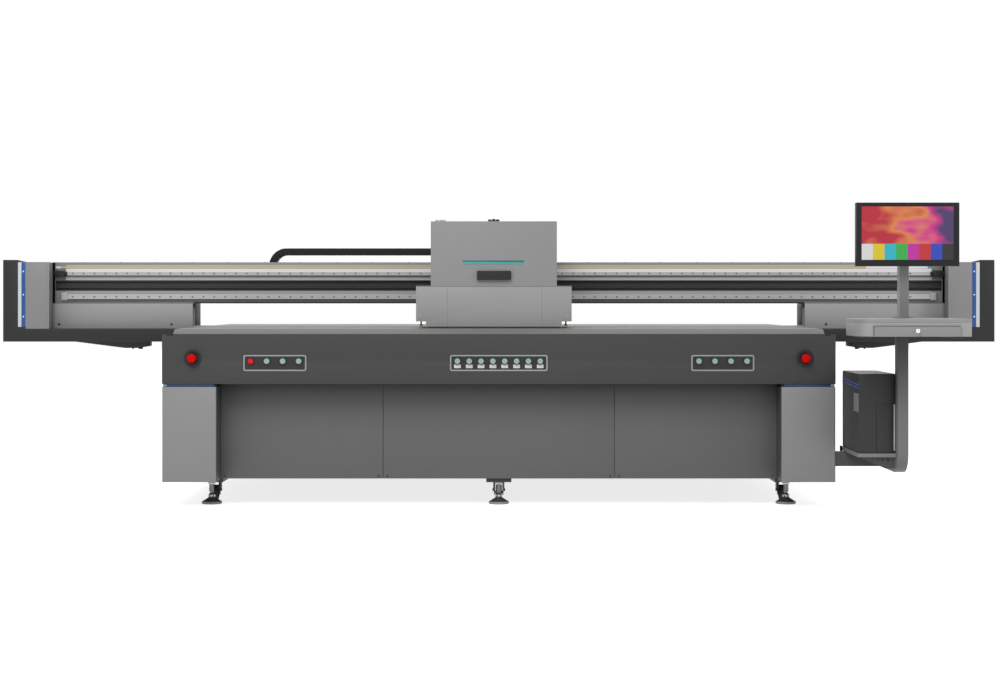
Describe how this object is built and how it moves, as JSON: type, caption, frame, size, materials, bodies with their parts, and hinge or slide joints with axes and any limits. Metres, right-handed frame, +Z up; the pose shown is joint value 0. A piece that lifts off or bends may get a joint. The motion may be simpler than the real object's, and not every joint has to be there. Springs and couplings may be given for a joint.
{
  "type": "flatbed uv printer",
  "caption": "Flatbed printer with a fixed vacuum table, a travelling gantry, a lifting print head on a carriage, and an operator's stand with computer, desk and monitor.",
  "frame": {"origin": "on the floor, in the middle of the machine's footprint", "axes": "+X to the operator's right along the gantry beam, +Y from the operator towards the back, +Z up"},
  "size_m": [5.4012, 3.686, 1.48],
  "materials": {
    "light_paint": "satin powder coat",
    "dark_paint": "satin powder coat",
    "panel_paint": "satin powder coat",
    "frame_paint": "semi-gloss paint",
    "table_aluminium": "fine anodised",
    "head_aluminium": "machined",
    "rail_steel": "ground",
    "chain_plastic": "moulded",
    "case_black": "fine texture",
    "screen_black": "satin",
    "desk_grey": "satin laminate",
    "stand_paint": "satin powder coat",
    "lamp_housing": "satin",
    "button_green": "satin",
    "stop_red": "gloss",
    "wheel_rubber": "matt"
  },
  "bodies": {
    "base": {"base_frame": "frame_paint", "vacuum_table": "table_aluminium", "front_fascia": "dark_paint", "side_cover_left": "light_paint", "side_cover_right": "light_paint", "front_panel_left": "panel_paint", "front_panel_middle": "panel_paint", "front_panel_right": "panel_paint", "rear_cover": "light_paint", "y_rail_left": "rail_steel", "y_rail_right": "rail_steel", "vacuum_blower": "frame_paint", "stand_column": "stand_paint", "computer": "case_black", "desk": "desk_grey", "monitor_post": "stand_paint"},
    "gantry": {"gantry_beam": "light_paint", "x_rail_upper": "rail_steel", "x_rail_lower": "rail_steel", "gantry_leg_left": "light_paint", "gantry_leg_right": "light_paint", "end_housing_left": "light_paint", "end_housing_right": "light_paint", "end_cover_left": "dark_paint", "end_cover_right": "dark_paint", "chain_lower_run": "chain_plastic"},
    "carriage": {"carriage_frame": "frame_paint", "chain_upper_run": "chain_plastic"},
    "print_head": {"head_cover": "light_paint", "carriage_shroud": "light_paint", "print_heads": "head_aluminium", "uv_lamp_left": "lamp_housing", "uv_lamp_right": "lamp_housing"},
    "bend": {"chain_bend": "chain_plastic"},
    "drawer": {"drawer": "desk_grey"},
    "monitor": {"monitor": "screen_black"},
    "button_left_1": {"button_left_1": "stop_red"},
    "button_left_2": {"button_left_2": "button_green"},
    "button_left_3": {"button_left_3": "button_green"},
    "button_left_4": {"button_left_4": "button_green"},
    "button_middle_1": {"button_middle_1": "button_green"},
    "button_middle_2": {"button_middle_2": "button_green"},
    "button_middle_3": {"button_middle_3": "button_green"},
    "button_middle_4": {"button_middle_4": "button_green"},
    "button_middle_5": {"button_middle_5": "button_green"},
    "button_middle_6": {"button_middle_6": "button_green"},
    "button_middle_7": {"button_middle_7": "button_green"},
    "button_middle_8": {"button_middle_8": "button_green"},
    "button_right_1": {"button_right_1": "button_green"},
    "button_right_2": {"button_right_2": "button_green"},
    "button_right_3": {"button_right_3": "button_green"},
    "button_right_4": {"button_right_4": "button_green"},
    "emergency_stop_left": {"emergency_stop_left": "stop_red"},
    "emergency_stop_right": {"emergency_stop_right": "stop_red"},
    "caster_wheel_front_left": {"caster_wheel_front_left": "wheel_rubber"},
    "caster_wheel_front_middle": {"caster_wheel_front_middle": "wheel_rubber"},
    "caster_wheel_front_right": {"caster_wheel_front_right": "wheel_rubber"},
    "caster_wheel_back_left": {"caster_wheel_back_left": "wheel_rubber"},
    "caster_wheel_back_middle": {"caster_wheel_back_middle": "wheel_rubber"},
    "caster_wheel_back_right": {"caster_wheel_back_right": "wheel_rubber"}
  },
  "joints": [
    {"name": "gantry_travel", "type": "slide", "parent": "base", "child": "gantry", "axis": [0, 1, 0], "range_m": [-0.5, 1.4]},
    {"name": "carriage_travel", "type": "slide", "parent": "gantry", "child": "carriage", "axis": [1, 0, 0], "range_m": [-2, 2], "deforming": ["chain_upper_run", "chain_lower_run"]},
    {"name": "head_lift", "type": "slide", "parent": "carriage", "child": "print_head", "axis": [0, 0, 1], "range_m": [0, 0.1]},
    {"name": "chain_roll", "type": "slide", "parent": "gantry", "child": "bend", "axis": [1, 0, 0], "range_m": [-1, 1]},
    {"name": "drawer_slide", "type": "slide", "parent": "base", "child": "drawer", "axis": [0, -1, 0], "range_m": [0, 0.26]},
    {"name": "monitor_tilt", "type": "hinge", "parent": "base", "child": "monitor", "pos_m": [1.917, -1.432, 1.332], "axis": [1, 0, 0], "range_deg": [-15, 5]},
    {"name": "press_left_1", "type": "slide", "parent": "base", "child": "button_left_1", "axis": [0, 1, 0], "range_m": [0, 0.004], "stiffness_N_per_m": 400},
    {"name": "press_left_2", "type": "slide", "parent": "base", "child": "button_left_2", "axis": [0, 1, 0], "range_m": [0, 0.004], "stiffness_N_per_m": 400},
    {"name": "press_left_3", "type": "slide", "parent": "base", "child": "button_left_3", "axis": [0, 1, 0], "range_m": [0, 0.004], "stiffness_N_per_m": 400},
    {"name": "press_left_4", "type": "slide", "parent": "base", "child": "button_left_4", "axis": [0, 1, 0], "range_m": [0, 0.004], "stiffness_N_per_m": 400},
    {"name": "press_middle_1", "type": "slide", "parent": "base", "child": "button_middle_1", "axis": [0, 1, 0], "range_m": [0, 0.004], "stiffness_N_per_m": 400},
    {"name": "press_middle_2", "type": "slide", "parent": "base", "child": "button_middle_2", "axis": [0, 1, 0], "range_m": [0, 0.004], "stiffness_N_per_m": 400},
    {"name": "press_middle_3", "type": "slide", "parent": "base", "child": "button_middle_3", "axis": [0, 1, 0], "range_m": [0, 0.004], "stiffness_N_per_m": 400},
    {"name": "press_middle_4", "type": "slide", "parent": "base", "child": "button_middle_4", "axis": [0, 1, 0], "range_m": [0, 0.004], "stiffness_N_per_m": 400},
    {"name": "press_middle_5", "type": "slide", "parent": "base", "child": "button_middle_5", "axis": [0, 1, 0], "range_m": [0, 0.004], "stiffness_N_per_m": 400},
    {"name": "press_middle_6", "type": "slide", "parent": "base", "child": "button_middle_6", "axis": [0, 1, 0], "range_m": [0, 0.004], "stiffness_N_per_m": 400},
    {"name": "press_middle_7", "type": "slide", "parent": "base", "child": "button_middle_7", "axis": [0, 1, 0], "range_m": [0, 0.004], "stiffness_N_per_m": 400},
    {"name": "press_middle_8", "type": "slide", "parent": "base", "child": "button_middle_8", "axis": [0, 1, 0], "range_m": [0, 0.004], "stiffness_N_per_m": 400},
    {"name": "press_right_1", "type": "slide", "parent": "base", "child": "button_right_1", "axis": [0, 1, 0], "range_m": [0, 0.004], "stiffness_N_per_m": 400},
    {"name": "press_right_2", "type": "slide", "parent": "base", "child": "button_right_2", "axis": [0, 1, 0], "range_m": [0, 0.004], "stiffness_N_per_m": 400},
    {"name": "press_right_3", "type": "slide", "parent": "base", "child": "button_right_3", "axis": [0, 1, 0], "range_m": [0, 0.004], "stiffness_N_per_m": 400},
    {"name": "press_right_4", "type": "slide", "parent": "base", "child": "button_right_4", "axis": [0, 1, 0], "range_m": [0, 0.004], "stiffness_N_per_m": 400},
    {"name": "press_stop_left", "type": "slide", "parent": "base", "child": "emergency_stop_left", "axis": [0, 1, 0], "range_m": [0, 0.005], "stiffness_N_per_m": 1200},
    {"name": "press_stop_right", "type": "slide", "parent": "base", "child": "emergency_stop_right", "axis": [0, 1, 0], "range_m": [0, 0.005], "stiffness_N_per_m": 1200},
    {"name": "spin_front_left", "type": "hinge", "parent": "base", "child": "caster_wheel_front_left", "pos_m": [-1.442, -0.707, 0.0455], "axis": [1, 0, 0], "continuous": true},
    {"name": "spin_front_middle", "type": "hinge", "parent": "base", "child": "caster_wheel_front_middle", "pos_m": [0, -0.707, 0.0455], "axis": [1, 0, 0], "continuous": true},
    {"name": "spin_front_right", "type": "hinge", "parent": "base", "child": "caster_wheel_front_right", "pos_m": [1.442, -0.707, 0.0455], "axis": [1, 0, 0], "continuous": true},
    {"name": "spin_back_left", "type": "hinge", "parent": "base", "child": "caster_wheel_back_left", "pos_m": [-1.442, 1.713, 0.0455], "axis": [1, 0, 0], "continuous": true},
    {"name": "spin_back_middle", "type": "hinge", "parent": "base", "child": "caster_wheel_back_middle", "pos_m": [0, 1.713, 0.0455], "axis": [1, 0, 0], "continuous": true},
    {"name": "spin_back_right", "type": "hinge", "parent": "base", "child": "caster_wheel_back_right", "pos_m": [1.442, 1.713, 0.0455], "axis": [1, 0, 0], "continuous": true}
  ],
  "couplings": [
    {"joint": "chain_roll", "follows": "carriage_travel", "ratio": 0.5}
  ]
}
